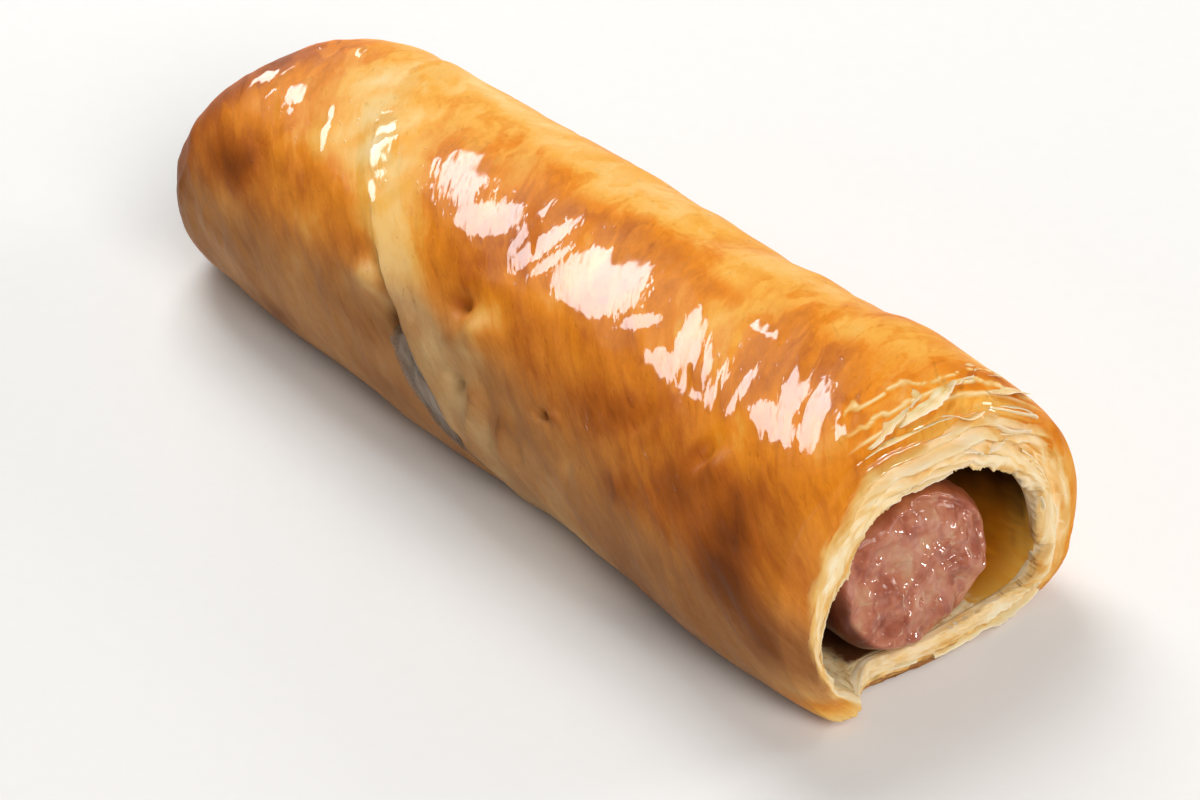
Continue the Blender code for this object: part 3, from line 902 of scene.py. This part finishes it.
# ---------------------------------------------------------------------------
# The hollow: the inside of the tube, where steam and dripping fat have left the
# dough smooth, waxy and yellow.  It is the inner face of the same sheet.

HOLLOW_START = NEAR_CUT - 1.2 * MM
HOLLOW_LENGTH = 147.4 * MM

columns = np.linspace(0, 2 * np.pi, 300, endpoint=False)
stations = [(HOLLOW_START - share**1.25 * HOLLOW_LENGTH,) for share in np.linspace(0, 1, 150)]
x, angle = laid_out(stations, columns)
outside = crust_points(x, angle, 0)
within = hollow_points(x, angle)
wall = np.linalg.norm(outside - within, axis=-1)
places = round_places(x, angle)
waves = 0.7 * grain(places, (9, 13, 13), 2) + 0.25 * grain(places, (2, 7, 7), 2)
waves = waves * by_turn(angle, (180, 1), (225, 0.35), (315, 0.35), (360, 1)) + 0.15
deep = 1 - MM * waves / wall
points = outside + (within - outside) * deep[:, None]
hollow = woven("wall_of_the_hollow", points, [(len(stations), len(columns))])
keep(hollow, "unrolled", places)
keep(hollow, "within", (NEAR_CUT - x) / MM)
# Painted shade: the roof of the hollow by the mouth is marked to be painted near black.
roof = by_turn(angle, (-40, 0), (-10, 0.3), (20, 0.85), (40, 1), (150, 1), (190, 0.6), (215, 0))
# The floor under the sausage is darkened, partly as set juices and partly as painted shade.
juicy = by_turn(angle, (224, 0), (242, 1), (258, 0.9), (272, 0.4), (288, 0.6), (304, 0))
keep(hollow, "juicy", juicy * smooth((NEAR_CUT - x - 2 * MM) / (4 * MM)))
keep(hollow, "greasy", roof * smooth((NEAR_CUT - x - 0.2 * MM) / (3.2 * MM)))
keep(hollow, "crumbly", by_turn(angle, (190, 0), (222, 1), (250, 1), (290, 0.6), (315, 0)))

waxy, paint = new_finish(
    "waxy_inner_dough",
    {
        "Subsurface Weight": 0.2,
        "Subsurface Radius": (1.0, 0.6, 0.2),
        "Subsurface Scale": 0.003,
        "Coat Roughness": 0.3,
        "Coat IOR": 1.4,
        "Specular IOR Level": 0.2,
    },
)
unrolled = paint.places("unrolled")
streak = unrolled.speckle((8, 3, 3), 4, 0.8)
crumb = unrolled.speckle((1.8, 1.8, 1.8), 4, 0.6)
within = paint.kept("within")
# Painted shade: the dough is painted darker from the mouth inwards, and darker still past about 9
# mm.
shaded_deep_tone = streak.tinted(((0.3, (0.36, 0.105, 0.004)), (0.7, (0.54, 0.195, 0.01))))
mouth_tone = streak.tinted(((0.3, (0.7, 0.31, 0.028)), (0.7, (0.9, 0.54, 0.11))))
tone = (within + 6 * (streak - 0.5)).between(1.5, 8).mixed(mouth_tone, shaded_deep_tone)
tone = (within + 8 * (streak - 0.5)).between(9, 22).mixed(tone, (0.14, 0.055, 0.01))
# Painted shade under the roof by the mouth.
greasy = (paint.kept("greasy") + 0.35 * (streak - 0.5)).between(0.08, 0.8)
tone = greasy.mixed(tone, (0.022, 0.006, 0.0015))
dough = crumb.tinted(
    ((0.3, (0.58, 0.36, 0.14)), (0.5, (0.84, 0.63, 0.34)), (0.7, (0.92, 0.77, 0.5)))
)
floor_share = (paint.kept("crumbly") + 0.6 * (crumb - 0.5)).between(0.35, 0.65)
# Set juices and painted shade under the sausage.
juicy = (paint.kept("juicy") + 0.7 * (crumb - 0.5)).between(0.25, 0.75)
tone = juicy.mixed(floor_share.mixed(tone, dough), (0.1, 0.032, 0.008))
paint.onto("Base Color", tone)
paint.onto("Roughness", 0.36 + 0.3 * floor_share)
paint.onto("Coat Weight", 0.15 * (1 - floor_share))
paint.raised(0.3 * streak + 0.5 * crumb * floor_share, 0.6, 0.6 * MM)
hollow.data.materials.append(waxy)
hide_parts("pastry")
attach(hollow, "root")

# ---------------------------------------------------------------------------
# The torn leaves of the cut: separate sheets of the puff pastry, a few tenths of a
# millimetre thick, that the oven has blown apart.  They stand out of the torn end
# in ragged curling edges, rooted between the layers they belong to.

# Each leaf: turns it runs between, depth into the wall, how far it stands out, its
# thickness, how far its tip curls towards the crust, a number that varies it, and how
# far back from the cut it is rooted at its start and at its end.
LEAVES = (
    (36, 108, 0.12, 0.6, 0.34, 0.1, 1, 0, 0), (60, 116, 0.34, 0.8, 0.3, 0.1, 2, 0, 0),
    (44, 100, 0.5, 1, 0.3, -0.1, 3, 0, 0), (66, 128, 0.68, 0.9, 0.28, -0.1, 4, 0, 0),
    (50, 112, 0.84, 1, 0.26, -0.2, 5, 0, 0), (60, 126, 0.97, 0.7, 0.22, -0.3, 6, 0, 0),
    (34, 62, 0.22, 1.9, 0.34, 0.5, 7, 0, 0), (46, 84, 0.62, 2.2, 0.3, -0.2, 8, 0, 0),
    (36, 60, 0.42, 1.9, 0.3, 0.6, 9, 0, 0), (62, 80, 0.2, 1.6, 0.28, 0.3, 12, 0, 0),
    (-34, 46, 0.86, 1.1, 0.5, 0.2, 10, 0, 0), (-16, 36, 0.7, 0.9, 0.4, 0.3, 11, 0, 0),
    (128, 206, 0.95, 0.5, 0.2, 0.1, 14, 0, 0), (232, 262, 0.6, 0.7, 0.5, -0.1, 17, 0, 0),
    (268, 318, 0.45, 0.7, 0.5, 0.1, 18, 0, 0), (34, 58, 0, 2.6, 0.2, 0.22, 21, 4.6, 1.6),
    (50, 76, 0, 2.2, 0.18, 0.2, 22, 7.4, 3), (66, 92, 0, 2.4, 0.18, 0.16, 23, 5, 1.2),
    (80, 104, 0, 2, 0.16, 0.16, 24, 4, 0.6), (38, 52, 0, 1.8, 0.16, 0.3, 25, 8.2, 5.6),
)


def leaf(start, end, depth, reach, thick, curled, vary, start_back, end_back):
    """Points and faces of one closed, ragged-edged sheet standing out of the dough."""
    count = int((end - start) / 0.5)
    angle = np.radians(np.linspace(start, end, count))
    u = np.linspace(0, 1, count)
    ring = round_places(0 * angle + vary * 0.1, angle)
    ragged = 1 + 1.0 * grain(ring, 7, 2) + 0.22 * grain(ring + 1, 1.2, 3)
    notch = smooth((grain(ring + 2, 5) + 0.35) / 0.1)
    out = reach * np.sin(np.pi * u) ** 0.6 * np.clip(ragged, 0.2, 1.5) * (0.5 + 0.5 * notch)
    on_skin = start_back > 0
    wavy = depth + (not on_skin) * (0.07 * grain(ring + 3, 8) - 0.04 * np.cos(2 * np.pi * u))
    rooted = NEAR_CUT - MM * (start_back + (end_back - start_back) * u)
    flaked = flaked_away(rooted, angle)[0]
    bed = 0.6 * wrinkles(rooted, angle) - flaked - 0.05 * MM
    bed = swells(rooted, angle) + on_skin * bed
    outside = crust_points(rooted, angle, bed)
    within = hollow_points(rooted, angle)
    wall = np.linalg.norm(outside - within, axis=-1)[:, None]
    outward = (outside - within) / wall
    base = outside + (within - outside) * wavy[:, None]
    steps = np.array([-1.6, -0.8, 0, 0.25, 0.5, 0.7, 0.85, 0.95, 1])
    top, bottom = [], []
    for step in steps:
        stand = (out * max(step, 0) + min(step, 0)) * MM
        rise = curled * out * max(step, 0) ** 2 + 0.15 * grain(ring + 4, 2.2) * max(step, 0)
        half = thick * MM / 2 * (1 - 0.7 * max(step, 0) ** 1.5)
        row = base + outward * MM * rise[:, None]
        row[:, 0] += stand
        top.append(row + outward * half)
        bottom.append(row - outward * half)
    points = np.stack(top + bottom[::-1])
    rows = len(points)
    index = np.arange(rows * count).reshape(rows, count)
    below = np.roll(index, -1, axis=0)
    faces = np.stack([index[:, :-1], below[:, :-1], below[:, 1:], index[:, 1:]], axis=-1)
    ends = [index[:, 0].tolist(), index[::-1, -1].tolist()]
    tip = np.concatenate([np.maximum(steps, 0), np.maximum(steps[::-1], 0)])
    arc = round_places(0 * angle + depth * 8 * MM + vary, angle)
    arc = np.repeat(arc[None], rows, axis=0)
    arc[..., 0] += tip[:, None] * reach * MM
    faces = faces.reshape(-1, 4).tolist() + ends
    return points.reshape(-1, 3), faces, np.repeat(tip, count), arc.reshape(-1, 3)


points, faces, tips, arcs = [], [], [], []
for sizes in LEAVES:
    start = sum(len(part) for part in points)
    made, sides, tip, arc = leaf(*sizes)
    points.append(made)
    faces += [[start + i for i in side] for side in sides]
    tips.append(tip)
    arcs.append(arc)
leaves = sewn("torn_leaves", np.concatenate(points).tolist(), faces)
keep(leaves, "tip", np.concatenate(tips))
outer = [0.7 if sizes[-2] else max(0, 1 - sizes[2] / 0.45) for sizes in LEAVES]
keep(leaves, "outer", np.repeat(outer, [len(tip) for tip in tips]))
keep(leaves, "unrolled", np.concatenate(arcs))

flake, paint = new_finish(
    "torn_pastry_leaf",
    {
        "Subsurface Weight": 0.35,
        "Subsurface Radius": (1.0, 0.7, 0.4),
        "Subsurface Scale": 0.0015,
        "Coat Weight": 0.15,
        "Coat Roughness": 0.25,
    },
)
unrolled = paint.places("unrolled")
fibre = unrolled.speckle((0.7, 5, 5), 4, 0.5)
blotch = unrolled.speckle((4, 3, 3), 3, 0.5)
tip = paint.kept("tip")
tint = 0.5 * fibre + 0.5 * blotch + 0.14 * tip + 0.22 * tip.between(0.75, 1)
colour = (tint - 0.22 * paint.kept("outer")).tinted(
    (
        (0.14, (0.62, 0.17, 0.006)),
        (0.26, (0.78, 0.33, 0.03)),
        (0.36, (0.84, 0.52, 0.17)),
        (0.46, (0.9, 0.68, 0.34)),
        (0.58, (0.94, 0.74, 0.44)),
        (0.76, (0.98, 0.81, 0.54)),
    )
)
paint.onto("Base Color", colour)
paint.onto("Roughness", 0.4 + 0.2 * fibre)
paint.raised(fibre, 0.5, 0.3 * MM)
leaves.data.materials.append(flake)
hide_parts("pastry")
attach(leaves, "root")

# ---------------------------------------------------------------------------
# The web in the lap: a skin of cooked juice and egg wash, grey and half clear, that
# has set in the gap below the raised lip on the front of the roll.

WEB_TURNS = (159, 207)

count, steps = 150, 16
turns = np.radians(np.linspace(*WEB_TURNS, count))
u, v = np.meshgrid(np.linspace(0, 1, count), np.linspace(0, 1, steps), indexing="ij")
angle = turns[:, None] + 0 * v
wide = 2.2 + 8 * np.sin(np.pi * u) ** 0.7 + 1.5 * grain(round_places(0 * u, angle), 6, 2)
thick, wander = rolled_edge(angle)
x = lap_line(angle) + wander + 0.3 * MM - wide * MM * (1 - v)
past = x - lap_line(angle)
sunk = lap_proud(angle) * LAP_HOLLOW * bell(np.minimum(past, 0) + 3 * MM, 6 * MM)
ground = swells(x, angle) - sunk + wrinkles(x, angle) + 0.05 * MM
up_to_lip = (lap_proud(angle) * 1.9 - 0.15) * v**1.4 + 0.25 * np.sin(np.pi * v) ** 0.5
strings = 0.35 * grain(round_places(x, angle), (1.6, 6, 6), 2) * np.sin(np.pi * v)
points = crust_points(x, angle, ground + MM * (up_to_lip + strings))
index = np.arange(count * steps).reshape(count, steps)
quads = np.stack([index[:-1, :-1], index[:-1, 1:], index[1:, 1:], index[1:, :-1]], axis=-1)
points = points.reshape(-1, 3).tolist()
web = sewn("web_in_the_lap", points, quads.reshape(-1, 4).tolist())
shell = web.modifiers.new("thickness", "SOLIDIFY")
shell.thickness = 0.12 * MM
keep(web, "across", v.ravel())
keep(web, "down", u.ravel())
keep(web, "unrolled", wound(x, angle).reshape(-1, 3))

clear, paint = new_finish(
    "set_juices",
    {
        "Subsurface Weight": 0.2,
        "Subsurface Scale": 0.001,
        "Specular IOR Level": 0.25,
        "Coat Weight": 0.12,
        "Coat Roughness": 0.2,
    },
)
streak = paint.places("unrolled").speckle((1.2, 7, 7), 3, 0.5)
cloudy = paint.places("unrolled").speckle((3.5, 4, 4), 3, 0.4)
grey = (0.35 * streak + 0.65 * cloudy).tinted(
    ((0.35, (0.2, 0.128, 0.075)), (0.52, (0.27, 0.19, 0.13)), (0.7, (0.37, 0.28, 0.205)))
)
down, across = paint.kept("down"), paint.kept("across")
margin = (across + 0.1 * (streak - 0.5)).between(0.03, 0.1) * (1 - across.between(0.1, 0.2))
tone = (0.7 * down.between(0.35, 0.85)).mixed(grey, (0.11, 0.06, 0.03))
tone = (0.5 * margin).mixed(tone, (0.4, 0.3, 0.2))
paint.onto("Base Color", tone)
uneven = 0.4 * (cloudy - 0.5)
across, down = across + uneven, down + uneven
edge = 0.35 * across.between(-0.02, 0.05) + 0.65 * across.between(0, 0.5)
ends = down.between(0, 0.2) * (1 - down.between(0.75, 1))
clouded = 0.55 + 0.35 * cloudy.between(0.35, 0.6) + 0.1 * streak.between(0.45, 0.65)
paint.onto("Alpha", clouded * edge * ends)
paint.onto("Roughness", 0.22 + 0.15 * streak)
web.data.materials.append(clear)
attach(web, "root")

# ---------------------------------------------------------------------------
# The tray, the lamps and the camera: a plain pale sheet of paper under soft boxes.
# The warm key is kept out of the glints, so that the glaze shines white, and a small
# lamp at the cut end gives the wet meat its glints and nothing else.

corners = [(-2, -2, 0), (2, -2, 0), (2, 2, 0), (-2, 2, 0)]
tray = sewn("tray", corners, [(0, 1, 2, 3)])
paper, paint = new_finish("pale_paper", {"Roughness": 0.8})
weave = paint.node("TexCoord", output="Object").speckle((3, 3, 3), 2)
paint.onto("Base Color", weave.mixed((0.86, 0.86, 0.86), (0.88, 0.88, 0.88)))
tray.data.materials.append(paper)


def soft_box(name, direction, distance, size, watts, colour, glints=True, glow=True):
    """A soft lamp looking at the roll; it may give no glints, or nothing but glints."""
    lamp = bpy.data.lights.new(name, "AREA")
    lamp.shape = "RECTANGLE"
    lamp.size, lamp.size_y = size
    lamp.energy = watts
    lamp.color = colour
    holder = added(name, lamp)
    towards = Vector(direction).normalized()
    holder.location = towards * distance + Vector((0, 0, ROLL_HEIGHT / 2))
    holder.rotation_euler = towards.to_track_quat("Z", "Y").to_euler()
    holder.visible_glossy = glints
    holder.visible_diffuse = glow


soft_box("key", (-0.63, 0.27, 0.72), 1.0, (0.56, 0.5), 7.0, (0.84, 0.93, 0.98))
soft_box("warm_key", (-0.63, 0.27, 0.72), 1.0, (0.56, 0.5), 3.1, (1.0, 0.55, 0.22), glints=False)
soft_box("low_glint", (-0.88, 0.4, 0.22), 1.1, (0.35, 0.2), 1.2, (1.0, 0.93, 0.85))
soft_box("fill", (0.74, -0.22, 0.62), 1.0, (0.6, 0.5), 6, (1.0, 0.97, 0.93))
soft_box("end_glint", (0.84, 0.53, 0.12), 1.0, (0.14, 0.09), 2.2, (1.0, 0.97, 0.94), glow=False)
soft_box("front_glint", (-0.61, -0.78, 0.24), 1.0, (0.3, 0.15), 0.5, (1.0, 0.95, 0.9))
soft_box("back_glint", (0.3, 0.86, 0.42), 0.9, (0.3, 0.2), 1.5, (1.0, 0.95, 0.9))
world = bpy.data.worlds.new("pale_room")
bpy.context.scene.world = world
world.use_nodes = True
world.node_tree.nodes["Background"].inputs["Color"].default_value = (1.0, 0.96, 0.92, 1)
world.node_tree.nodes["Background"].inputs["Strength"].default_value = 0.17
world.cycles_visibility.glossy = False
bpy.context.scene.view_settings.view_transform = "Standard"

lens = bpy.data.cameras.new("camera")
lens.lens = 110.36
lens.sensor_width = 36
lens.clip_start = 0.01
camera = added("camera", lens)
right = Vector((0.6529, 0.7574, 0)).normalized()
back = Vector((0.6118, -0.5275, 0.5895)).normalized()
turned = Matrix((right, back.cross(right), back)).transposed().to_4x4()
camera.matrix_world = Matrix.Translation((0.34535, -0.29543, 0.33509)) @ turned
bpy.context.scene.camera = camera
